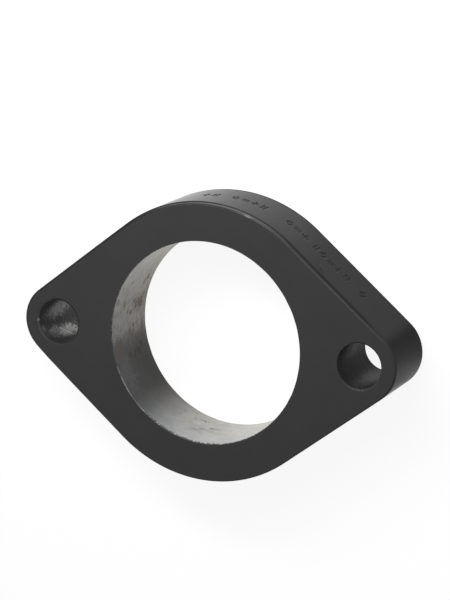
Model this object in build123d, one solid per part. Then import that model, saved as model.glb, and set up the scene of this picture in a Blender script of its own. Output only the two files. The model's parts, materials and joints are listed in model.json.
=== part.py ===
from build123d import *

import os
from math import acos, degrees

# A two-bolt flange in the shape of a lozenge: one thick steel plate with a machined bore in
# the middle and a plain drilled bolt hole in each of its two ears.
#
# Millimetres. The plate lies on its back face, at z = 0. Z runs up the bore's axis and X along
# the line of the two bolts, and the origin is the bore's centre on the back face.

# Driving dimensions
thickness = 28.0
bore_diameter = 77.5  # slips over a steel tube of 76.1 mm
ring_wall = 14.75  # metal between the bore and the round middle of the outline
bolt_spacing = 124.0  # from one bolt's centre to the other's
bolt_hole_diameter = 17.0  # an M16 bolt with close clearance
ear_wall = 6.0  # metal between a bolt hole and the round end of its ear
outer_edge_round = 1.2
bolt_hole_front_round = 1.0
bolt_hole_back_round = 0.3
bore_edge_break = 0.3

# Worked out from the driving dimensions
bore_radius = bore_diameter / 2
bolt_hole_radius = bolt_hole_diameter / 2
middle_radius = bore_radius + ring_wall
ear_radius = bolt_hole_radius + ear_wall
bolt_offset = bolt_spacing / 2


def lozenge_outline():
    """A round middle and two round ears, joined by four straight flanks tangent to both."""
    # A flank's outward normal makes this angle with the bolt line, and so do both arcs' ends.
    flank_angle = degrees(acos((middle_radius - ear_radius) / bolt_offset))
    middle_sweep = 180 - 2 * flank_angle
    ear_sweep = 2 * flank_angle
    with BuildSketch() as outline:
        with BuildLine():
            top = CenterArc((0, 0), middle_radius, flank_angle, middle_sweep)
            bottom = CenterArc((0, 0), middle_radius, 180 + flank_angle, middle_sweep)
            right_ear = CenterArc((bolt_offset, 0), ear_radius, -flank_angle, ear_sweep)
            left_ear = CenterArc((-bolt_offset, 0), ear_radius, 180 - flank_angle, ear_sweep)
            Line(right_ear @ 1, top @ 0)
            Line(top @ 1, left_ear @ 0)
            Line(left_ear @ 1, bottom @ 0)
            Line(bottom @ 1, right_ear @ 0)
        make_face()
    return outline.sketch


def flange_plate():
    """The plate with its rounded outer edges, its bore and its two bolt holes."""
    with BuildPart() as plate:
        add(lozenge_outline())
        extrude(amount=thickness)
        fillet(plate.faces().filter_by(Axis.Z).edges(), outer_edge_round)

        Hole(bore_radius)
        chamfer(plate.edges(Select.LAST).filter_by(GeomType.CIRCLE), bore_edge_break)

        with Locations((-bolt_offset, 0), (bolt_offset, 0)):
            Hole(bolt_hole_radius)
        hole_rims = plate.edges(Select.LAST).filter_by(GeomType.CIRCLE).group_by(Axis.Z)
        fillet(hole_rims[-1], bolt_hole_front_round)
        fillet(hole_rims[0], bolt_hole_back_round)
    return plate.part


os.makedirs("parts", exist_ok=True)
export_step(flange_plate(), "parts/flange.step")
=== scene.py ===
import json
import math
from collections import namedtuple

import bpy
import bmesh
import numpy as np
from mathutils import Matrix, Quaternion, Vector, noise
from mathutils.geometry import delaunay_2d_cdt


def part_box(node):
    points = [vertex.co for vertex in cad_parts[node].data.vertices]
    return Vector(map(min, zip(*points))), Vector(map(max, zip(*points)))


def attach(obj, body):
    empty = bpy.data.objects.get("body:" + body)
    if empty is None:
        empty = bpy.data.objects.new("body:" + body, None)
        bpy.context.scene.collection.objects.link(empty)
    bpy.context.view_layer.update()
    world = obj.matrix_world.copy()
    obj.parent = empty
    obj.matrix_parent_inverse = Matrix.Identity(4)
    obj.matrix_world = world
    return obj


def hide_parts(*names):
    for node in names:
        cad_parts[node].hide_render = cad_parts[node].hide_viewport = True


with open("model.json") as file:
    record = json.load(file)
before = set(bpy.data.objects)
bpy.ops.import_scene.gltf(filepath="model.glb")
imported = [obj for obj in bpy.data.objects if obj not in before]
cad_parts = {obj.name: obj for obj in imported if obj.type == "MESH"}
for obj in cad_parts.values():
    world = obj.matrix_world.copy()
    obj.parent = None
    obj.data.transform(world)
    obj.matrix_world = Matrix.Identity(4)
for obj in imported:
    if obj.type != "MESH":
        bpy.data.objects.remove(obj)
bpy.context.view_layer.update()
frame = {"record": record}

# A thick steel flange with two bolt holes lies on its back face. A satin black coat covers it,
# apart from the bare machined wall of its bore and the drilled walls of its bolt holes. Light and shade
# are painted into the colours of the bore, the bolt holes' walls and the coat's edges and rims.
# Everything is in metres, in the part's own frame: Z up the bore, X along the bolt line.

MM = 0.001

# The plate's material slots, in their order
BLACK, BARE, DRILLED_LEFT, DRILLED_RIGHT = range(4)

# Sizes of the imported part
low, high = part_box("flange")
mounts = {mount["name"]: mount for mount in frame["record"]["mounts"]}
bore_radius = mounts["main_bore"]["dims"]["r_mm"] * MM
bore_wall_length = mounts["main_bore"]["dims"]["length_mm"] * MM
hole_radius = mounts["bolt_holes"]["dims"]["hole_r_mm"] * MM
bolt_offset = mounts["bolt_holes"]["dims"]["spacing_x_mm"] * MM / 2
thickness = high.z - low.z
bore_edge_break = (thickness - bore_wall_length) / 2
middle_radius = (high.y - low.y) / 2
ear_radius = (high.x - low.x) / 2 - bolt_offset

# Sizes of the finish. A narrow worn bevel softens each outer edge, rounded into the face and the band.
bevel_tilt = math.radians(31)
bevel_width = 0.6 * MM
round_by_face = 0.4 * MM
round_by_band = 1.0 * MM
edge_inset = round_by_face * math.sin(bevel_tilt) + bevel_width * math.cos(bevel_tilt)
edge_inset += round_by_band * (1 - math.sin(bevel_tilt))
edge_drop = round_by_face * (1 - math.cos(bevel_tilt)) + bevel_width * math.sin(bevel_tilt)
edge_drop += round_by_band * math.cos(bevel_tilt)
edge_wobble = 0.06  # how much the softened edge's size varies along it, as a share
edge_wobble_size = 9 * MM
edge_clearance = 0.1 * MM  # between a softened edge and the first ring of points on the band
band_start = edge_drop * (1 + edge_wobble) + edge_clearance  # how far from each face the band begins
hole_front_round = 1.0 * MM
hole_back_round = 0.3 * MM
support_gap = 0.15 * MM  # a narrow flat ring that keeps each face flat up to its rounded rim
face_spacing = 2.5 * MM  # between the points inside a flat face
outline_step = 1.0 * MM  # between the points along the outline
mark_step = 0.25 * MM  # the same at the marks, both ways
band_wave = 0.03 * MM
band_wave_size = 14 * MM
coarse_ring = 0.03 * MM  # the depth of the drill's rings in the bolt holes, and how far apart they are
coarse_ring_size = 1.1 * MM
fine_ring = 0.02 * MM
fine_ring_size = 0.5 * MM
filed_unevenness = 0.4  # how much the bore's filed edge varies around it, as a share
filed_bump = 4 * MM
sharp_angle = math.radians(32)  # faces that meet at more than this keep a crisp edge

# The front edge was filed by hand: mm along the outline, and how wide and how deep the bevel is there
FILED_EDGE = [
    (-16, 0.4, 0.4),
    (-6, 0.65, 0.7),
    (12, 0.65, 0.7),
    (24, 0.93, 1.0),
    (84, 0.93, 1.0),
    (100, 0.95, 1.7),
    (114, 1.0, 2.0),
    (134, 1.0, 1.4),
    (150, 0.93, 1.0),
    (206, 0.93, 1.0),
    (214, 0.5, 0.5),
    (232, 0.4, 0.4),
]

# The outline, from the right ear's tip to the top of the round middle
flank_angle = math.acos((middle_radius - ear_radius) / bolt_offset)
ear_arc = ear_radius * flank_angle
flank_length = bolt_offset * math.sin(flank_angle)
middle_arc = middle_radius * (math.pi / 2 - flank_angle)
quarter_length = ear_arc + flank_length + middle_arc
outline_length = 4 * quarter_length

# The punch marks: plain bars, crosses and diamonds in a row on the edge band
mark_pitch = 3.9 * MM
mark_height = 4.2 * MM
mark_row = thickness - 14.6 * MM  # the row's middle, above the back face
mark_groups = [(31.3, 1), (40.0, 5), (61.3, 3), (80.6, 4), (100.5, 2)]  # first mark's place in mm, count
mark_lift = 0.25 * MM  # how far a mark may stand off the row
mark_lift_size = 3.0 * MM
mark_depth = 0.32 * MM
stroke_half_width = 0.45 * MM
lip_height = 0.05 * MM
lip_place = 1.35  # from the stroke's line, in half widths of the stroke
lip_spread = 0.12
hair = 1e-9  # less than this, in metres, is no depth at all

# The parts of the edge band that are finely divided for the marks
marks_start = 29.0 * MM
marks_end = 107.0 * MM
marks_low = mark_row - 0.66 * mark_height
marks_high = mark_row + 0.66 * mark_height

# A small dent near the front edge, as two ends: along the outline and up from the back face
dent_ends = [(45.6 * MM, thickness - 2.9 * MM), (47.6 * MM, thickness - 4.5 * MM)]
dent_high = dent_ends[0][1] + 1.3 * stroke_half_width
dent_low = dent_ends[1][1] - 1.3 * stroke_half_width

# The two small places where the coat is worn through
worn_edge_along = 80.4 * MM
worn_edge_reach = 2.4  # mm along the edge to each side
worn_hole_reach = 0.9
worn_half_width = 0.45  # mm across it

# Painted shade and reflection on the bolt holes' walls: how light they are, around them from +X
LEFT_WALL_SHADE_AROUND = [
    (0, 1),
    (178, 1),
    (192, 0.85),
    (206, 0.8),
    (218, 0.9),
    (228, 1),
    (246, 0.68),
    (300, 0.7),
    (330, 1),
    (360, 1),
]
RIGHT_WALL_SHADE_AROUND = [
    (0, 0.3),
    (118, 0.95),
    (132, 0.75),
    (146, 0.4),
    (160, 0.23),
    (190, 0.19),
    (205, 0.16),
    (228, 0.16),
    (240, 0.4),
    (252, 0.8),
    (264, 1.0),
    (276, 0.75),
    (290, 0.5),
    (360, 0.3),
]

# Painted highlights on the bolt holes' walls, over the drill's rings: degrees, mm up, mm along, mm tall,
# and how bright
LEFT_WALL_HIGHLIGHTS = [
    (172.0, 13.0, 6.0, 17.0, 0.52),
    (241.0, 12.8, 5.2, 13.6, 0.95),
    (225.0, 19.5, 3.4, 7.0, 0.6),
    (209.0, 26.0, 2.6, 3.0, 0.5),
    (135.0, 25.5, 9.0, 6.0, 0.12),
]
RIGHT_WALL_HIGHLIGHTS = [
    (176.0, 13.5, 3.4, 9.0, 0.1),
    (262.0, 12.0, 6.0, 14.0, 0.14),
]


def quarter_outline(along):
    """x, y and the outward angle on the first quarter of the outline, from the right ear's tip."""
    if along < ear_arc:
        angle = along / ear_radius
        return bolt_offset + ear_radius * math.cos(angle), ear_radius * math.sin(angle), angle
    if along < ear_arc + flank_length:
        step = along - ear_arc
        x = bolt_offset + ear_radius * math.cos(flank_angle) - step * math.sin(flank_angle)
        y = ear_radius * math.sin(flank_angle) + step * math.cos(flank_angle)
        return x, y, flank_angle
    angle = flank_angle + (along - ear_arc - flank_length) / middle_radius
    return middle_radius * math.cos(angle), middle_radius * math.sin(angle), angle


def outline(along):
    """x, y and the outward angle all the way round, counter-clockwise from the right ear's tip."""
    quarter, along = divmod(along % outline_length, quarter_length)
    if quarter in (1, 3):
        along = quarter_length - along
    x, y, angle = quarter_outline(along)
    if quarter in (1, 2):
        x, angle = -x, math.pi - angle
    if quarter in (2, 3):
        y, angle = -y, -angle
    return x, y, angle


def wobble(x, y, z, size):
    """Smooth noise from -1 to 1 at a place, with bumps about this size."""
    return noise.noise(Vector((x, y, z)) / size)


def mark_strokes(kind):
    """One mark's strokes, as ends (across, up) in parts of the mark's height."""
    top, right, bottom, left = (0, 0.44), (0.3, 0), (0, -0.44), (-0.3, 0)
    diamond = [(top, right), (right, bottom), (bottom, left), (left, top)]
    two_bars = [((-0.17, -0.46), (-0.17, 0.46)), ((0.17, -0.46), (0.17, 0.46))]
    cross = [(top, bottom), (left, right)]
    two_levels = [((-0.28, 0.2), (0.28, 0.2)), ((-0.28, -0.2), (0.28, -0.2))]
    kinds = [diamond, two_bars, cross, two_levels]
    return kinds[kind % len(kinds)]


def all_strokes():
    """Every punched stroke as two ends, each (arc length, height), in metres."""
    strokes = []
    kind = 0
    for start, count in mark_groups:
        for place in range(count):
            middle = start * MM + place * mark_pitch
            level = mark_row + mark_lift * wobble(middle, 0.5, 0.5, mark_lift_size)
            for ends in mark_strokes(kind):
                stroke = [(middle + across * mark_height, level + up * mark_height) for across, up in ends]
                strokes.append(stroke)
            kind += 1
    strokes.append(dent_ends)
    return strokes


def punch_depth(along, height, strokes):
    """How deep the marks sink the edge band at each place; a stroke's lip stands a little proud."""
    depth = np.zeros_like(along)
    for (along_a, height_a), (along_b, height_b) in strokes:
        run = np.array([along_b - along_a, height_b - height_a])
        share = ((along - along_a) * run[0] + (height - height_a) * run[1]) / (run @ run)
        share = np.clip(share, 0, 1)
        away = np.hypot(along - along_a - share * run[0], height - height_a - share * run[1])
        away = away / stroke_half_width
        groove = mark_depth * np.clip(1 - away * away, 0, 1)
        lip = lip_height * np.clip(1 - (away - lip_place) ** 2 / lip_spread, 0, 1)
        depth = np.maximum(depth, groove) - lip * (depth < groove + hair)
    return depth


class Skin:
    """Gathers closed rings of points and the faces between them into one mesh."""

    def __init__(self):
        self.points = []
        self.faces = []
        self.slots = []

    def ring(self, points):
        """Adds these points and returns their numbers."""
        first = len(self.points)
        self.points.extend(points)
        return list(range(first, len(self.points)))

    def bridge(self, rings, slot):
        """Four-sided faces between each ring and the next."""
        for ring, following in zip(rings, rings[1:]):
            for index in range(len(ring)):
                after = (index + 1) % len(ring)
                self.faces.append((ring[index], ring[after], following[after], following[index]))
                self.slots.append(slot)

    def cover(self, outer, holes, height, hole_round, slot):
        """A flat face between its outer ring and the rings of its holes."""
        within_the_edges = 1  # what the triangulation calls leaving out all that lies beyond the outer ring
        same_place = 1e-7
        rings = [outer] + holes
        border = [index for ring in rings for index in ring]
        points = [Vector(self.points[index][:2]) for index in border]
        points += [Vector(point) for point in inner_points(hole_round)]
        edges = []
        for ring in rings:
            first = len(edges)
            edges += [(first + step, first + (step + 1) % len(ring)) for step in range(len(ring))]
        found = delaunay_2d_cdt(points, edges, [], within_the_edges, same_place)
        places, triangles, origins = found[0], found[2], found[3]
        numbers = []
        for place, origin in zip(places, origins):
            if origin[0] < len(border):
                numbers.append(border[origin[0]])
            else:
                numbers += self.ring([(place.x, place.y, height)])
        for triangle in triangles:
            centre = sum((places[corner] for corner in triangle), Vector((0, 0))) / 3
            if clear_of_holes(centre.x, centre.y, hole_round, 0):
                self.faces.append(tuple(numbers[corner] for corner in triangle))
                self.slots.append(slot)


def clear_of_holes(x, y, hole_round, margin):
    """Is this place outside the bore and both bolt holes, with their rims?"""
    if math.hypot(x, y) < bore_radius + bore_edge_break + support_gap + margin:
        return False
    return math.hypot(abs(x) - bolt_offset, y) > hole_radius + hole_round + support_gap + margin


def inner_points(hole_round):
    """Evenly spread points inside a face, in rows of equal triangles, clear of all its rims."""
    row_spacing = face_spacing * math.sqrt(0.75)
    from_edge = edge_inset + 0.6 * face_spacing
    from_holes = 0.4 * face_spacing
    rows = int(2 * middle_radius / row_spacing)
    columns = int(2 * (bolt_offset + ear_radius) / face_spacing)
    points = []
    for row in range(rows):
        y = -middle_radius + (row + 0.5) * row_spacing
        for column in range(columns):
            x = -(bolt_offset + ear_radius) + (column + 0.5 * (row % 2)) * face_spacing
            if inside_outline(x, y, from_edge) and clear_of_holes(x, y, hole_round, from_holes):
                points.append((x, y))
    return points


def inside_outline(x, y, margin):
    """Is this place inside the outline by at least this much?"""
    if math.hypot(x, y) < middle_radius - margin:
        return True
    if math.hypot(abs(x) - bolt_offset, y) < ear_radius - margin:
        return True
    along_normal = abs(x) * math.cos(flank_angle) + abs(y) * math.sin(flank_angle)
    across = abs(y) * math.cos(flank_angle) - abs(x) * math.sin(flank_angle)
    on_flank = -flank_length < across < 0
    return on_flank and along_normal < middle_radius - margin


def steps_between(places, gaps):
    """Values from the first place to the last that pass through each of them, about each gap apart."""
    values = [places[0]]
    for start, end, gap in zip(places, places[1:], gaps):
        count = max(1, round(abs(end - start) / gap))
        values += [start + (end - start) * (index + 1) / count for index in range(count)]
    return values


def edge_profile():
    """The softened edge from the face to the band, as (inset from the band, drop from the face)."""
    face_steps = 3
    band_steps = 6
    profile = []
    for step in range(face_steps + 1):
        tilt = bevel_tilt * step / face_steps
        profile.append((edge_inset - round_by_face * math.sin(tilt), round_by_face * (1 - math.cos(tilt))))
    for step in range(band_steps + 1):
        tilt = bevel_tilt + (math.pi / 2 - bevel_tilt) * step / band_steps
        profile.append((round_by_band * (1 - math.sin(tilt)), edge_drop - round_by_band * math.cos(tilt)))
    return profile


def outline_stations():
    """Places along the outline, closer together where the marks are."""
    places = [marks_start, marks_end, marks_start + outline_length]
    return steps_between(places, [mark_step, outline_step])[:-1]


def band_heights():
    """Heights on the edge band from front to back, closer together at the dent and the marks."""
    levels_and_steps = [
        (thickness - band_start, 0.5 * MM),
        (dent_high, 0.3 * MM),
        (dent_low, 1.2 * MM),
        (marks_high, mark_step),
        (marks_low, 1.4 * MM),
    ]
    levels, steps = zip(*levels_and_steps)
    return steps_between([*levels, band_start], steps)


def edge_sizes(x, y, along):
    """How the softened edges vary along the outline: the front one's width and depth, the back one's size."""
    size = 1 + edge_wobble * np.array([wobble(px, py, 0.3, edge_wobble_size) for px, py in zip(x, y)])
    filed_along, filed_width, filed_depth = np.array(FILED_EDGE).T
    width = size * np.interp(along, filed_along * MM, filed_width, period=outline_length)
    depth = size * np.interp(along, filed_along * MM, filed_depth, period=outline_length)
    return width, depth, size


def outer_skin(skin):
    """The softened edges and the edge band, with its punch marks. Returns the front and back rings."""
    along = np.array(outline_stations())
    x, y, angle = (np.array(values) for values in zip(*(outline(place) for place in along)))
    front_width, front_depth, back_size = edge_sizes(x, y, along)
    strokes = all_strokes()

    # The band above the marks is squeezed or stretched to meet the filed front edge
    squeeze = edge_drop * front_depth + edge_clearance - band_start
    squeeze = squeeze / (thickness - band_start - marks_high)

    def ring_at(inset, height):
        places_x = x - inset * np.cos(angle)
        places_y = y - inset * np.sin(angle)
        return skin.ring(list(zip(places_x, places_y, np.broadcast_to(height, x.shape))))

    edge = edge_profile()
    rings = [ring_at(front_width * edge_inset + support_gap, thickness)]
    for inset, drop in edge:
        rings.append(ring_at(front_width * inset, thickness - front_depth * drop))
    for height in band_heights():
        waves = np.array([band_wave * wobble(px, py, height, band_wave_size) for px, py in zip(x, y)])
        middle = (height - edge_drop) / (thickness - 2 * edge_drop)
        fade = 4 * middle * (1 - middle)
        lowered = height - squeeze * max(height - marks_high, 0)
        rings.append(ring_at(fade * np.abs(waves) + punch_depth(along, lowered, strokes), lowered))
    for inset, drop in reversed(edge):
        rings.append(ring_at(back_size * inset, back_size * drop))
    rings.append(ring_at(back_size * edge_inset + support_gap, 0))
    skin.bridge(rings, BLACK)
    return rings[0], rings[-1]


def round_ring(skin, centre_x, radius, height, count):
    """A ring of points; its radius and height may be functions of the angle."""
    points = []
    for step in range(count):
        turn = 2 * math.pi * step / count
        at_radius = radius(turn) if callable(radius) else radius
        at_height = height(turn) if callable(height) else height
        points.append((centre_x + at_radius * math.cos(turn), at_radius * math.sin(turn), at_height))
    return skin.ring(points)


def bore_skin(skin):
    """The bore's wall and its filed edges. Returns the front and back rings."""
    count = 360
    wall_steps = 40

    def filed(turn, seed):
        uneven = wobble(bore_radius * math.cos(turn), bore_radius * math.sin(turn), seed, filed_bump)
        return bore_edge_break * (1 + filed_unevenness * uneven)

    def front_filed(turn):
        return filed(turn, 0.7)

    def back_filed(turn):
        return filed(turn, 0.2)

    rim_end = bore_radius + bore_edge_break + support_gap
    front = [round_ring(skin, 0, rim_end, thickness, count)]
    front.append(round_ring(skin, 0, lambda turn: bore_radius + front_filed(turn), thickness, count))
    wall = [round_ring(skin, 0, bore_radius, lambda turn: thickness - front_filed(turn), count)]
    top = thickness - 2 * bore_edge_break
    bottom = 2 * bore_edge_break
    for step in range(wall_steps + 1):
        wall.append(round_ring(skin, 0, bore_radius, top + (bottom - top) * step / wall_steps, count))
    wall.append(round_ring(skin, 0, bore_radius, back_filed, count))
    back = [round_ring(skin, 0, lambda turn: bore_radius + back_filed(turn), 0, count)]
    back.append(round_ring(skin, 0, rim_end, 0, count))
    skin.bridge(front, BLACK)
    skin.bridge(front[-1:] + wall, BARE)
    skin.bridge(wall[-1:] + back, BLACK)
    return front[0], back[-1]


def hole_skin(skin, centre_x, slot):
    """A bolt hole's rounded rims and its wall, which the drill left with fine uneven rings."""
    count = 120
    wall_steps = 64
    rim_steps = 5

    def grooved(height):
        coarse = coarse_ring * wobble(centre_x, 0.1, height, coarse_ring_size)
        fine = fine_ring * wobble(centre_x, 0.6, height, fine_ring_size)
        return hole_radius + coarse + fine

    def rim(size, face, towards_middle):
        """The rings of a rounded rim, from the face that it lies in down to the wall."""
        rings = [round_ring(skin, centre_x, hole_radius + size + support_gap, face, count)]
        for step in range(rim_steps):
            turn = math.pi / 2 * step / rim_steps
            radius = hole_radius + size * (1 - math.sin(turn))
            height = face + towards_middle * size * (1 - math.cos(turn))
            rings.append(round_ring(skin, centre_x, radius, height, count))
        return rings

    front = rim(hole_front_round, thickness, -1)
    back = rim(hole_back_round, 0, 1)
    wall = []
    for height in steps_between([thickness - hole_front_round, hole_back_round], [thickness / wall_steps]):
        wall.append(round_ring(skin, centre_x, grooved(height), height, count))
    skin.bridge(front + wall[:1], BLACK)
    skin.bridge(wall, slot)
    skin.bridge(wall[-1:] + back[::-1], BLACK)
    return front[0], back[0]


def flange_piece(materials):
    """The whole plate as one closed mesh."""
    skin = Skin()
    left_hole = hole_skin(skin, -bolt_offset, DRILLED_LEFT)
    right_hole = hole_skin(skin, bolt_offset, DRILLED_RIGHT)
    fronts, backs = zip(outer_skin(skin), bore_skin(skin), left_hole, right_hole)
    skin.cover(fronts[0], list(fronts[1:]), thickness, hole_front_round, BLACK)
    skin.cover(backs[0], list(backs[1:]), 0, hole_back_round, BLACK)

    mesh = bpy.data.meshes.new("flange_plate")
    mesh.from_pydata([(float(px), float(py), float(pz)) for px, py, pz in skin.points], [], skin.faces)
    for material in materials:
        mesh.materials.append(material)
    mesh.polygons.foreach_set("material_index", skin.slots)
    body = bmesh.new()
    body.from_mesh(mesh)
    bmesh.ops.recalc_face_normals(body, faces=body.faces)
    body.to_mesh(mesh)
    body.free()
    mesh.polygons.foreach_set("use_smooth", [True] * len(mesh.polygons))
    mesh.set_sharp_from_angle(angle=sharp_angle)
    piece = bpy.data.objects.new("flange_plate", mesh)
    bpy.context.scene.collection.objects.link(piece)
    return piece


def add(tree, kind, inputs=None, **settings):
    """A node with its settings; each input is a value or another node's output."""
    node = tree.nodes.new(kind)
    for name, value in settings.items():
        setattr(node, name, value)
    for name, value in (inputs or {}).items():
        if isinstance(value, bpy.types.NodeSocket):
            tree.links.new(value, node.inputs[name])
        else:
            node.inputs[name].default_value = value
    return node


def places_in_mm(tree, stretch=(1, 1, 1)):
    """The place on the object, in millimetres, stretched along each axis."""
    coordinates = add(tree, "ShaderNodeTexCoord")
    scale = tuple(part / MM for part in stretch)
    mapping = add(tree, "ShaderNodeMapping", {"Vector": coordinates.outputs["Object"], "Scale": scale})
    return mapping.outputs["Vector"]


def noise_at(tree, places, size, detail=3.0, roughness=0.55):
    """Noise from 0 to 1 with bumps about this many millimetres across."""
    inputs = {"Vector": places, "Scale": 1 / size, "Detail": detail, "Roughness": roughness}
    return add(tree, "ShaderNodeTexNoise", inputs).outputs["Fac"]


def spread(tree, value, start, end, low_end=0.0, high_end=1.0):
    """A value that runs smoothly from low_end at start to high_end at end."""
    inputs = {"Value": value, "From Min": start, "From Max": end, "To Min": low_end, "To Max": high_end}
    return add(tree, "ShaderNodeMapRange", inputs, interpolation_type="SMOOTHSTEP").outputs["Result"]


def varied(tree, bumps, low_end, high_end, reach=0.2):
    """Noise turned into values from low_end to high_end, over this much of it to each side of its middle."""
    return spread(tree, bumps, 0.5 - reach, 0.5 + reach, low_end, high_end)


def maths(tree, operation, first, second=0.0):
    """One step of arithmetic on single values."""
    return add(tree, "ShaderNodeMath", {0: first, 1: second}, operation=operation).outputs[0]


def absolute(tree, value, size):
    """How far a value lies from 0, in parts of a size."""
    return maths(tree, "DIVIDE", maths(tree, "ABSOLUTE", value), size)


def vectors(tree, operation, first, second=(0, 0, 0), scale=1.0):
    """One step of arithmetic on places or colours. A length or a dot product comes out as a single value."""
    node = add(tree, "ShaderNodeVectorMath", {0: first, 1: second}, operation=operation)
    if operation == "SCALE":
        tree.links.new(scale, node.inputs["Scale"])
    return node.outputs["Value" if operation in ("LENGTH", "DOT_PRODUCT") else "Vector"]


Wall = namedtuple("Wall", "radius place degrees up")


def round_wall(tree, centre_x, radius):
    """A round wall's radius, and a place on it: (mm around from +X, mm up, 0), degrees around and mm up."""
    place = add(tree, "ShaderNodeSeparateXYZ", {"Vector": places_in_mm(tree)}).outputs
    x = maths(tree, "SUBTRACT", centre_x / MM, place["X"])
    y = maths(tree, "MULTIPLY", place["Y"], -1.0)
    turn = maths(tree, "ADD", maths(tree, "ARCTAN2", y, x), math.pi)
    around = maths(tree, "MULTIPLY", turn, radius / MM)
    flat = add(tree, "ShaderNodeCombineXYZ", {"X": around, "Y": place["Z"]}).outputs["Vector"]
    return Wall(radius, flat, maths(tree, "MULTIPLY", turn, math.degrees(1)), place["Z"])


def oval_marks(tree, wall, marks, fray, softness):
    """1 inside any of the oval marks on a wall and 0 outside. Fray, noise about 0, makes them ragged."""
    covered = 0.0
    for angle, height, width, tall in marks:
        middle = (math.radians(angle) * wall.radius / MM, height, 0)
        offset = vectors(tree, "SUBTRACT", wall.place, middle)
        distance = vectors(tree, "LENGTH", vectors(tree, "MULTIPLY", offset, (2 / width, 2 / tall, 0)))
        uneven = maths(tree, "ADD", distance, fray)
        covered = maths(tree, "MAXIMUM", covered, spread(tree, uneven, 1 + softness, 1 - softness))
    return covered


def colour_around(tree, wall, stops):
    """A colour that runs smoothly around a wall through the stops, each a place in degrees and its colour."""
    node = add(tree, "ShaderNodeValToRGB", {"Fac": maths(tree, "DIVIDE", wall.degrees, 360.0)})
    band = node.color_ramp
    band.interpolation = "CARDINAL"
    for place, colour in stops[1:-1]:
        band.elements.new(place / 360).color = (*colour, 1)
    band.elements[0].color = (*stops[0][1], 1)
    band.elements[-1].color = (*stops[-1][1], 1)
    return node.outputs["Color"]


def value_around(tree, wall, stops):
    """The same for a single value."""
    return colour_around(tree, wall, [(place, (value, value, value)) for place, value in stops])


def mix_colour(tree, share, first, second):
    """The first colour where the share is 0 and the second where it's 1."""
    node = add(tree, "ShaderNodeMix", {0: share}, data_type="RGBA")
    for index, value in ((6, first), (7, second)):
        if isinstance(value, bpy.types.NodeSocket):
            tree.links.new(value, node.inputs[index])
        else:
            node.inputs[index].default_value = (*value, 1)
    return node.outputs[2]


def mix_value(tree, share, first, second):
    """The same for single values."""
    return add(tree, "ShaderNodeMix", {0: share, 2: first, 3: second}, data_type="FLOAT").outputs[0]


def new_material(name):
    """A new material, its node tree and its shader."""
    material = bpy.data.materials.new(name)
    material.use_nodes = True
    tree = material.node_tree
    return material, tree, tree.nodes["Principled BSDF"]


def finish_shader(tree, shader, colour, roughness, metallic, height, depth):
    """Joins the finished values to the shader, with the fine relief as bump."""
    tree.links.new(colour, shader.inputs["Base Color"])
    tree.links.new(roughness, shader.inputs["Roughness"])
    if isinstance(metallic, bpy.types.NodeSocket):
        tree.links.new(metallic, shader.inputs["Metallic"])
    else:
        shader.inputs["Metallic"].default_value = metallic
    bump = add(tree, "ShaderNodeBump", {"Height": height, "Distance": depth, "Strength": 1.0})
    tree.links.new(bump.outputs["Normal"], shader.inputs["Normal"])


# Colours of the finishes, and of the light and shade painted on them
COAT_DARK = (0.037, 0.037, 0.037)
COAT_LIGHT = (0.041, 0.041, 0.041)
# Painted shade: the dark line under the round middle's edges
EDGE_SHADE_COLOUR = (0, 0, 0)
# The bolt holes' drilled steel; the right hole's is darker as painted shade
DRILLED_LEFT_STEEL = (0.078, 0.078, 0.078)
DRILLED_RIGHT_STEEL = (0.05, 0.05, 0.05)
# Painted highlights on the bolt holes' walls
HIGHLIGHT_STEEL = (0.41, 0.408, 0.4)
# Painted highlight on the coat's edges and on the bolt holes' rims
HIGHLIGHT_COAT = (0.135, 0.135, 0.133)
WORN_RIM = (0.16, 0.158, 0.152)
OXIDE = (0.027, 0.024, 0.024)
SPOT_DIRT = (0.055, 0.05, 0.043)
RUST = (0.06, 0.034, 0.024)
BROWN_STAIN = (0.062, 0.052, 0.044)
# The painted glint on the bore's filed edge
FILED_EDGE_GLINT = (0.31, 0.31, 0.304)
PALE_HAZE = (0.085, 0.085, 0.085)
WARM_TINT = (1.02, 1.0, 0.96)
COOL_TINT = (0.985, 1.0, 1.01)

# How much the finishes shine, and how deep their fine relief is
coat_specular = 0.08
drilled_specular = 0.1
edge_shade_roughness = 0.55
coat_relief = 0.006 * MM
turned_relief = 0.006 * MM
drilled_relief = 0.03 * MM

# How much painted highlight lightens the coat on the edges of the round middle: degrees around it, share
MIDDLE_EDGE_HIGHLIGHT_AROUND = [
    (0, 0),
    (50, 0.06),
    (62, 0.43),
    (72, 0.58),
    (80, 0.75),
    (92, 1),
    (104, 1),
    (112, 0.5),
    (122, 0),
    (360, 0),
]

# The same on the rims of the bolt holes
LEFT_RIM_HIGHLIGHT_AROUND = [
    (0, 0),
    (95, 0.08),
    (118, 0.43),
    (145, 0.32),
    (205, 0.29),
    (232, 0.13),
    (250, 0),
    (360, 0),
]
RIGHT_RIM_HIGHLIGHT_AROUND = [
    (0, 0),
    (95, 0.08),
    (118, 0.32),
    (140, 0.29),
    (180, 0.19),
    (205, 0.07),
    (225, 0),
    (360, 0),
]

# Painted shade on the softened edges of the round middle: where a dark line is painted just under the
# edges, and where they're painted dark over their whole width: degrees around the round middle, how dark
EDGE_SHADE_UNDER_AROUND = [
    (0, 0),
    (8, 0),
    (16, 0.35),
    (84, 0.35),
    (92, 0.42),
    (99, 0.72),
    (112, 0.8),
    (122, 0.6),
    (164, 0.35),
    (174, 0),
    (360, 0),
]
EDGE_SHADE_FULL_AROUND = [
    (0, 0),
    (105, 0),
    (114, 0.5),
    (121, 0.62),
    (150, 0.52),
    (184, 0.4),
    (194, 0),
    (360, 0),
]
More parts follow.
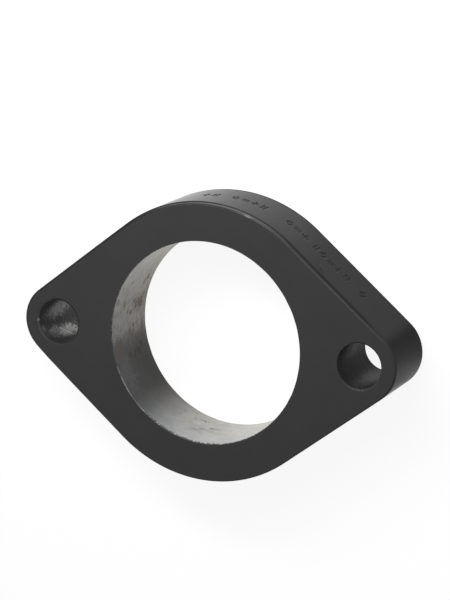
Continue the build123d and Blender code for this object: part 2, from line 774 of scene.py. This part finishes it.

# The bore's tone, with painted reflection and shade: degrees around it from +X, and the bare steel's colour
# there
BORE_PAINTED_LIGHT_AROUND = [
    (0, (0.44, 0.43, 0.41)),
    (40, (0.36, 0.35, 0.33)),
    (80, (0.385, 0.376, 0.357)),
    (120, (0.325, 0.316, 0.298)),
    (138, (0.265, 0.256, 0.238)),
    (158, (0.214, 0.207, 0.194)),
    (176, (0.179, 0.172, 0.161)),
    (185, (0.151, 0.146, 0.137)),
    (190, (0.081, 0.079, 0.076)),
    (196, (0.052, 0.051, 0.05)),
    (214, (0.044, 0.044, 0.044)),
    (223, (0.062, 0.062, 0.062)),
    (233, (0.155, 0.155, 0.155)),
    (247, (0.34, 0.34, 0.337)),
    (262, (0.44, 0.437, 0.427)),
    (282, (0.51, 0.505, 0.495)),
    (305, (0.5, 0.497, 0.487)),
    (360, (0.44, 0.43, 0.41)),
]

# How many mm the coat's ragged teeth reach over the bore's front edge, around it
COAT_OVER_EDGE = [
    (0, 0.9),
    (110, 0.7),
    (138, 0.25),
    (156, 0.4),
    (170, 0.6),
    (196, 0.6),
    (204, 0.3),
    (224, 0.3),
    (238, 1.15),
    (290, 1.15),
    (305, 0.9),
    (360, 0.9),
]

# The painted glint on the bare filed edge under the teeth: how strong it is around it
FILED_EDGE_GLINT_AROUND = [
    (0, 0.16),
    (180, 0.25),
    (199, 0.36),
    (204, 0.95),
    (214, 0.95),
    (220, 0.32),
    (225, 0.16),
    (233, 0.46),
    (246, 0.08),
    (360, 0.08),
]

# How dirty and mottled the bore's wall is, around it
GRIME_AROUND = [
    (0, 0.3),
    (120, 0.3),
    (144, 0.85),
    (165, 1.0),
    (190, 1.0),
    (206, 0.5),
    (225, 0.2),
    (250, 0.45),
    (275, 0.4),
    (360, 0.3),
]

# Marks on the bore's wall: degrees, mm up, mm along, mm tall
DIRT_SPOTS = [
    (168.8, 19.2, 3.4, 1.5),
    (164.5, 25.3, 2.4, 1.3),
    (155.2, 4.7, 2.8, 1.5),
    (157.4, 6.9, 2.2, 1.3),
    (154.2, 18.2, 1.8, 1.3),
    (165.9, 4.0, 2.0, 1.2),
    (174.8, 13.2, 1.9, 1.8),
    (173.4, 15.6, 1.5, 1.3),
    (183.9, 3.6, 2.3, 1.3),
    (183.1, 10.4, 1.5, 1.3),
    (185.7, 13.3, 1.7, 1.6),
    (248.8, 3.4, 1.2, 0.7),
    (251.0, 7.1, 1.1, 0.7),
    (254.0, 6.7, 0.9, 0.7),
    (256.2, 6.3, 1.5, 0.8),
    (258.7, 5.5, 0.9, 0.6),
    (263.8, 10.7, 0.9, 0.6),
]
RUST_STREAKS = [
    (170.9, 4.9, 4.8, 2.0),
    (170.6, 7.2, 3.6, 1.5),
    (171.0, 9.2, 3.4, 1.5),
    (168.4, 10.8, 1.9, 1.3),
    (154.8, 5.4, 2.6, 1.3),
]
DARK_SMEARS = [
    (198.4, 12.2, 2.8, 2.2),
    (198.1, 8.6, 2.0, 2.4),
    (198.8, 16.2, 2.0, 2.6),
    (200.8, 13.0, 1.8, 1.5),
    (198.6, 10.2, 1.7, 2.6),
    (194.6, 6.2, 2.4, 1.6),
]
DARK_HAZE = [
    (204.0, 6.0, 18.0, 10.0),
]
BROWN_STAINS = [
    (191.5, 23.2, 7.0, 5.0),
    (194.5, 25.2, 3.8, 2.8),
    (191.0, 4.5, 4.2, 5.0),
]
FAINT_STAINS = [
    (170.6, 7.4, 8.0, 9.5),
    (187.5, 13.0, 4.5, 9.0),
    (257.5, 17.0, 4.0, 2.2),
    (261.5, 14.0, 4.0, 2.2),
    (265.5, 11.0, 4.0, 2.2),
]
PALE_PATCHES = [
    (206.0, 24.0, 15.0, 11.0),
]

# The same marks in the order in which they are laid on: their colour, how soft their edge is, how strong
BORE_MARKS = [
    (PALE_PATCHES, PALE_HAZE, 0.8, 0.7),
    (FAINT_STAINS, BROWN_STAIN, 0.8, 0.36),
    (DARK_HAZE, OXIDE, 0.8, 0.45),
    (BROWN_STAINS, BROWN_STAIN, 0.6, 0.85),
    (DARK_SMEARS, OXIDE, 0.4, 0.85),
    (DIRT_SPOTS, SPOT_DIRT, 0.3, 0.8),
    (RUST_STREAKS, RUST, 0.3, 0.95),
]
speck_strength = 0.55


def coat_finish(tree):
    """The satin black coat's colour, roughness and relief."""
    places = places_in_mm(tree)
    clouds = noise_at(tree, places, 11.0)
    grain = noise_at(tree, places, 0.3, detail=2.0)
    brushed = noise_at(tree, places_in_mm(tree, stretch=(0.12, 0.12, 1.6)), 1.0, detail=3.0)
    share = maths(tree, "ADD", varied(tree, clouds, 0.0, 0.4), varied(tree, grain, 0.0, 0.3))
    share = maths(tree, "ADD", share, varied(tree, brushed, 0.0, 0.3))
    colour = mix_colour(tree, share, COAT_DARK, COAT_LIGHT)
    roughness = varied(tree, grain, 0.16, 0.24, reach=0.25)
    relief = maths(tree, "ADD", grain, brushed)
    return colour, roughness, relief


def painted_edge_shade(tree, wall, below_edge, on_edge):
    """How dark the painted shade is on the softened edges of the round middle."""
    under_edge = spread(tree, below_edge, 0.2, 0.6)
    edge_shade = maths(tree, "MULTIPLY", under_edge, value_around(tree, wall, EDGE_SHADE_UNDER_AROUND))
    edge_shade = maths(tree, "MAXIMUM", edge_shade, value_around(tree, wall, EDGE_SHADE_FULL_AROUND))
    return maths(tree, "MULTIPLY", edge_shade, on_edge)


def highlighted_coat(tree, wall, below_edge, across_top, colour):
    """The coat's colour, painted paler as highlights on the softened edges and on the bolt holes' rims."""
    inside = maths(tree, "SUBTRACT", middle_radius / MM, vectors(tree, "LENGTH", across_top))
    highlight = maths(tree, "MULTIPLY", spread(tree, inside, 0.75, 0.45), spread(tree, below_edge, 1.0, 0.6))
    highlight = maths(tree, "MULTIPLY", highlight, value_around(tree, wall, MIDDLE_EDGE_HIGHLIGHT_AROUND))
    colour = mix_colour(tree, highlight, colour, HIGHLIGHT_COAT)

    rims = ((-bolt_offset, LEFT_RIM_HIGHLIGHT_AROUND), (bolt_offset, RIGHT_RIM_HIGHLIGHT_AROUND))
    for centre_x, highlight_around in rims:
        hole = round_wall(tree, centre_x, hole_radius)
        from_axis = vectors(tree, "SUBTRACT", across_top, (centre_x / MM, 0, 0))
        beyond = maths(tree, "SUBTRACT", vectors(tree, "LENGTH", from_axis), hole_radius / MM)
        near_rim = spread(tree, beyond, 0.95, 0.4)
        highlight = maths(tree, "MULTIPLY", near_rim, value_around(tree, hole, highlight_around))
        colour = mix_colour(tree, highlight, colour, HIGHLIGHT_COAT)
    return colour


def worn_place(tree, place, middle, outward, reach):
    """1 in a small ragged place on a front rim, this many mm along it to each side, and 0 elsewhere."""
    offset = vectors(tree, "SUBTRACT", place, (middle.x / MM, middle.y / MM, thickness / MM))
    along = vectors(tree, "DOT_PRODUCT", offset, (-math.sin(outward), math.cos(outward), 0))
    across = vectors(tree, "DOT_PRODUCT", offset, (math.cos(outward), math.sin(outward), 0))
    below = vectors(tree, "DOT_PRODUCT", offset, (0, 0, 1))
    distance = maths(tree, "ADD", absolute(tree, along, reach), absolute(tree, across, worn_half_width))
    distance = maths(tree, "ADD", distance, spread(tree, below, -1.0, -2.0))
    uneven = maths(tree, "SUBTRACT", distance, noise_at(tree, place, 0.5, detail=1.0))
    return spread(tree, uneven, 0.6, 0.1)


def worn_coat(tree, place, colour):
    """The coat's colour, with metal showing in two places: on the outer edge and the left hole's rim."""
    x, y, angle = outline(worn_edge_along)
    on_edge = Vector((x, y)) - 0.5 * edge_inset * Vector((math.cos(angle), math.sin(angle)))
    on_hole_rim = Vector((-bolt_offset - hole_radius - 0.25 * hole_front_round, -0.3 * MM))
    worn_places = ((on_edge, angle, worn_edge_reach), (on_hole_rim, math.pi, worn_hole_reach))
    for middle, outward, reach in worn_places:
        worn = worn_place(tree, place, middle, outward, reach)
        colour = mix_colour(tree, worn, colour, WORN_RIM)
    return colour


def black_coat():
    """The coat on the faces, the edge band and the rims: with painted shade and painted highlights on the
    edges and rims, and worn through in places.
    """
    material, tree, shader = new_material("black_coat")
    colour, roughness, relief = coat_finish(tree)

    # How many mm each place lies from the nearer of the two faces, and where the softened edges are
    place = places_in_mm(tree)
    wall = round_wall(tree, 0, middle_radius)
    from_middle = maths(tree, "ABSOLUTE", maths(tree, "SUBTRACT", wall.up, thickness / 2 / MM))
    below_edge = maths(tree, "SUBTRACT", thickness / 2 / MM, from_middle)
    on_edge = maths(tree, "MULTIPLY", spread(tree, below_edge, 0.0, 0.06), spread(tree, below_edge, 2.4, 1.5))

    relief = mix_value(tree, on_edge, relief, 1.0)
    # Painted shade on the round middle's softened edges, which are also rougher there
    edge_shade = painted_edge_shade(tree, wall, below_edge, on_edge)
    colour = mix_colour(tree, edge_shade, colour, EDGE_SHADE_COLOUR)
    roughness = mix_value(tree, spread(tree, edge_shade, 0.0, 0.35), roughness, edge_shade_roughness)

    across_top = vectors(tree, "MULTIPLY", place, (1, 1, 0))
    colour = highlighted_coat(tree, wall, below_edge, across_top, colour)
    colour = worn_coat(tree, place, colour)
    shader.inputs["Specular IOR Level"].default_value = coat_specular
    finish_shader(tree, shader, colour, roughness, 0.0, relief, coat_relief)
    return material


def bore_tone(tree, wall, grime, clouds, lines, mottle):
    """The bore's bare colour: its painted reflection and shade around the wall, uneven, warmer low down and
    cooler near the front.
    """
    uneven = maths(tree, "MULTIPLY", grime, varied(tree, mottle, -0.28, 0.28))
    uneven = maths(tree, "ADD", uneven, varied(tree, lines, 0.92, 1.08))
    uneven = maths(tree, "ADD", uneven, varied(tree, clouds, -0.06, 0.06))
    colour = vectors(tree, "SCALE", colour_around(tree, wall, BORE_PAINTED_LIGHT_AROUND), scale=uneven)
    tint = mix_colour(tree, spread(tree, wall.up, 8.0, 24.0), WARM_TINT, COOL_TINT)
    return vectors(tree, "MULTIPLY", colour, tint)


def stained(tree, wall, grime, fray, colour):
    """The bore's colour with its stains, rust and dirt."""
    for marks, finish, softness, strength in BORE_MARKS:
        mask = oval_marks(tree, wall, marks, fray, softness)
        colour = mix_colour(tree, maths(tree, "MULTIPLY", mask, strength), colour, finish)
    specks = noise_at(tree, places_in_mm(tree, stretch=(0.6, 0.6, 1.0)), 1.0, detail=1.0)
    strength = maths(tree, "MULTIPLY", grime, speck_strength)
    few = maths(tree, "MULTIPLY", spread(tree, specks, 0.64, 0.72), strength)
    return mix_colour(tree, few, colour, SPOT_DIRT)


def coat_over_edge(tree, wall, colour):
    """The bore's colour with the coat's ragged teeth over its front edge and a painted glint on the filed
    edge, and how bare the wall is.
    """
    below_front = maths(tree, "SUBTRACT", thickness / MM, wall.up)
    teeth = noise_at(tree, places_in_mm(tree, stretch=(1, 1, 0)), 0.8, detail=3.0)
    bitten = varied(tree, teeth, -0.8, 0.0, reach=0.1)
    coat_end = maths(tree, "ADD", value_around(tree, wall, COAT_OVER_EDGE), bitten)
    coated = spread(tree, maths(tree, "SUBTRACT", below_front, coat_end), 0.1, -0.1)
    colour = mix_colour(tree, coated, colour, COAT_DARK)
    bare = maths(tree, "SUBTRACT", 1.0, coated)
    glint = maths(tree, "MULTIPLY", spread(tree, below_front, 0.42, 0.2), bare)
    glint = maths(tree, "MULTIPLY", glint, value_around(tree, wall, FILED_EDGE_GLINT_AROUND))
    return mix_colour(tree, glint, colour, FILED_EDGE_GLINT), bare


def bare_steel():
    """The bore's turned wall with painted reflection and shade, stained and spotted with rust, under the
    coat's ragged edge, with a painted glint on its filed edge.
    """
    material, tree, shader = new_material("bare_steel")
    places = places_in_mm(tree)
    wall = round_wall(tree, 0, bore_radius)
    lines = noise_at(tree, places_in_mm(tree, stretch=(0.05, 0.05, 2.4)), 1.0, detail=4.0, roughness=0.7)
    mottle = noise_at(tree, places_in_mm(tree, stretch=(0.5, 0.5, 1.0)), 1.6, detail=4.0, roughness=0.65)
    clouds = noise_at(tree, places, 7.0)
    grain = noise_at(tree, places, 0.45, detail=2.0)
    grime = value_around(tree, wall, GRIME_AROUND)

    colour = bore_tone(tree, wall, grime, clouds, lines, mottle)
    fray = varied(tree, grain, -0.7, 0.7, reach=0.3)
    fray = maths(tree, "ADD", fray, varied(tree, mottle, -0.7, 0.7, reach=0.3))
    colour = stained(tree, wall, grime, fray, colour)
    colour, bare = coat_over_edge(tree, wall, colour)
    roughness = varied(tree, mottle, 0.36, 0.46)
    finish_shader(tree, shader, colour, roughness, bare, lines, turned_relief)
    return material


def drilled_steel(name, centre_x, steel, shade_around, highlight_marks):
    """A bolt hole's dark wall with the drill's rings, painted shade around it and painted highlights in
    places.
    """
    material, tree, shader = new_material(name)
    wall = round_wall(tree, centre_x, hole_radius)
    rings = noise_at(tree, places_in_mm(tree, stretch=(0.1, 0.1, 0.9)), 1.0, detail=4.0, roughness=0.7)
    blotches = noise_at(tree, places_in_mm(tree), 1.2)
    fray = varied(tree, blotches, -0.5, 0.5, reach=0.25)
    uneven = maths(tree, "ADD", varied(tree, rings, 0.8, 1.2), varied(tree, blotches, -0.2, 0.2))
    tone = maths(tree, "MULTIPLY", uneven, value_around(tree, wall, shade_around))
    dark = vectors(tree, "SCALE", steel, scale=tone)
    highlight = 0.0
    for *mark, strength in highlight_marks:
        mask = maths(tree, "MULTIPLY", oval_marks(tree, wall, [mark], fray, 0.5), strength)
        highlight = maths(tree, "MAXIMUM", highlight, mask)
    highlight = maths(tree, "MULTIPLY", highlight, spread(tree, rings, 0.3, 0.65, 0.35, 1.0))
    colour = mix_colour(tree, highlight, dark, HIGHLIGHT_STEEL)
    roughness = mix_value(tree, highlight, 0.55, 0.4)
    metallic = mix_value(tree, highlight, 0.7, 1.0)
    shader.inputs["Specular IOR Level"].default_value = drilled_specular
    finish_shader(tree, shader, colour, roughness, metallic, rings, drilled_relief)
    return material


# The floor: its size, how strongly it glows where it's seen, and its tone in diffuse light
floor_reach = 8.0
floor_glow = 0.9
floor_tone = 0.12

# The dark card beside the right ear and flank: mm along the outline from the ear's tip, and how dense it is
CARD_COVER = [
    (-28, 0),
    (-20, 0.4),
    (-13, 0.6),
    (-5, 0.4),
    (3, 0.75),
    (10, 1.0),
    (16, 0.6),
    (54, 0.45),
    (68, 0),
]
card_width = 32 * MM
card_step = 2 * MM
card_tone = 0.22
card_lift = 0.1 * MM

# The camera, found by fitting the view to the photograph's outline, bore and bolt holes
camera_place = Vector((0.3538, 0.2288, 0.7689))
camera_aim = Vector((0.00833, 0.01780, 0.028))
camera_up = Vector((-0.12607, 0.96802, -0.21692))
camera_lens = 137.58


def add_camera():
    """The camera at the photograph's angle."""
    camera = bpy.data.objects.new("camera", bpy.data.cameras.new("camera"))
    camera.data.lens = camera_lens
    back = (camera_place - camera_aim).normalized()
    right = camera_up.cross(back).normalized()
    up = back.cross(right)
    camera.matrix_world = Matrix.Translation(camera_place) @ Matrix((right, up, back)).transposed().to_4x4()
    bpy.context.scene.collection.objects.link(camera)
    bpy.context.scene.camera = camera


def softbox(name, azimuth, elevation, roll, distance, width, height, power):
    """A soft lamp that faces the object. Azimuth 0 is over +X and 90 over +Y, in degrees."""
    lamp = bpy.data.lights.new(name, "AREA")
    lamp.shape = "RECTANGLE"
    lamp.size = width
    lamp.size_y = height
    lamp.energy = power
    turn = math.radians(azimuth)
    rise = math.radians(elevation)
    away = Vector((math.cos(turn) * math.cos(rise), math.sin(turn) * math.cos(rise), math.sin(rise)))
    holder = bpy.data.objects.new(name, lamp)
    holder.location = away * distance
    holder.visible_camera = False
    facing = away.to_track_quat("Z", "Y") @ Quaternion((0, 0, 1), math.radians(roll))
    holder.rotation_euler = facing.to_euler()
    bpy.context.scene.collection.objects.link(holder)


def add_lights():
    """Two soft lamps and an even white surround."""
    softbox("key", azimuth=110, elevation=44, roll=-25, distance=0.45, width=0.32, height=0.08, power=1.6)
    softbox("rim", azimuth=66, elevation=53, roll=0, distance=0.36, width=0.14, height=0.09, power=0.28)
    world = bpy.data.worlds.new("studio")
    world.use_nodes = True
    background = world.node_tree.nodes["Background"]
    background.inputs["Color"].default_value = (1, 1, 1, 1)
    background.inputs["Strength"].default_value = 0.35
    bpy.context.scene.world = world


def white_floor():
    """A pale floor that the camera, gloss and glass see as white, apart from the object's shadow."""
    material, tree, shader = new_material("floor")
    tree.nodes.remove(shader)
    path = add(tree, "ShaderNodeLightPath").outputs
    seen = maths(tree, "MAXIMUM", path["Is Camera Ray"], path["Is Glossy Ray"])
    seen = maths(tree, "MAXIMUM", seen, path["Is Transmission Ray"])
    strength = maths(tree, "MULTIPLY", seen, floor_glow)
    glow = add(tree, "ShaderNodeEmission", {"Color": (1, 1, 1, 1), "Strength": strength})
    paper = add(tree, "ShaderNodeBsdfDiffuse", {"Color": (floor_tone, floor_tone, floor_tone, 1)})
    both = add(tree, "ShaderNodeAddShader", {0: glow.outputs[0], 1: paper.outputs[0]})
    tree.links.new(both.outputs[0], tree.nodes["Material Output"].inputs["Surface"])
    mesh = bpy.data.meshes.new("floor")
    signs = ((-1, -1), (1, -1), (1, 1), (-1, 1))
    corners = [(across * floor_reach, along * floor_reach, low.z) for across, along in signs]
    mesh.from_pydata(corners, [], [(0, 1, 2, 3)])
    mesh.materials.append(material)
    floor = bpy.data.objects.new("floor", mesh)
    bpy.context.scene.collection.objects.link(floor)


def dark_card():
    """A dark card on the floor beside the right ear and flank, which only the gloss on them sees: it paints a
    dark reflection on them.
    """
    material, tree, shader = new_material("dark_card")
    shader.inputs["Base Color"].default_value = (card_tone, card_tone, card_tone, 1)
    shader.inputs["Specular IOR Level"].default_value = 0.0
    cover = add(tree, "ShaderNodeAttribute", attribute_name="cover")
    tree.links.new(cover.outputs["Fac"], shader.inputs["Alpha"])

    places, covers = zip(*CARD_COVER)
    stations = steps_between([places[0] * MM, places[-1] * MM], [card_step])
    points = []
    for along in stations:
        x, y, angle = outline(along)
        points.append((x, y, 0))
        points.append((x + card_width * math.cos(angle), y + card_width * math.sin(angle), 0))
    faces = [(2 * step, 2 * step + 1, 2 * step + 3, 2 * step + 2) for step in range(len(stations) - 1)]
    mesh = bpy.data.meshes.new("dark_card")
    mesh.from_pydata(points, [], faces)
    mesh.materials.append(material)
    strength = np.interp(stations, np.array(places) * MM, covers)
    mesh.attributes.new("cover", "FLOAT", "POINT").data.foreach_set("value", np.repeat(strength, 2))
    card = bpy.data.objects.new("dark_card", mesh)
    card.location.z = low.z + card_lift
    card.visible_camera = False
    card.visible_diffuse = False
    card.visible_shadow = False
    bpy.context.scene.collection.objects.link(card)


left_wall = drilled_steel("drilled_left", -bolt_offset, DRILLED_LEFT_STEEL, LEFT_WALL_SHADE_AROUND, LEFT_WALL_HIGHLIGHTS)
right_wall = drilled_steel("drilled_right", bolt_offset, DRILLED_RIGHT_STEEL, RIGHT_WALL_SHADE_AROUND, RIGHT_WALL_HIGHLIGHTS)
plate = flange_piece([black_coat(), bare_steel(), left_wall, right_wall])
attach(plate, "root")
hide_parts("flange")
white_floor()
dark_card()
add_lights()
add_camera()
bpy.context.scene.view_settings.view_transform = "Standard"

bpy.context.view_layer.update()
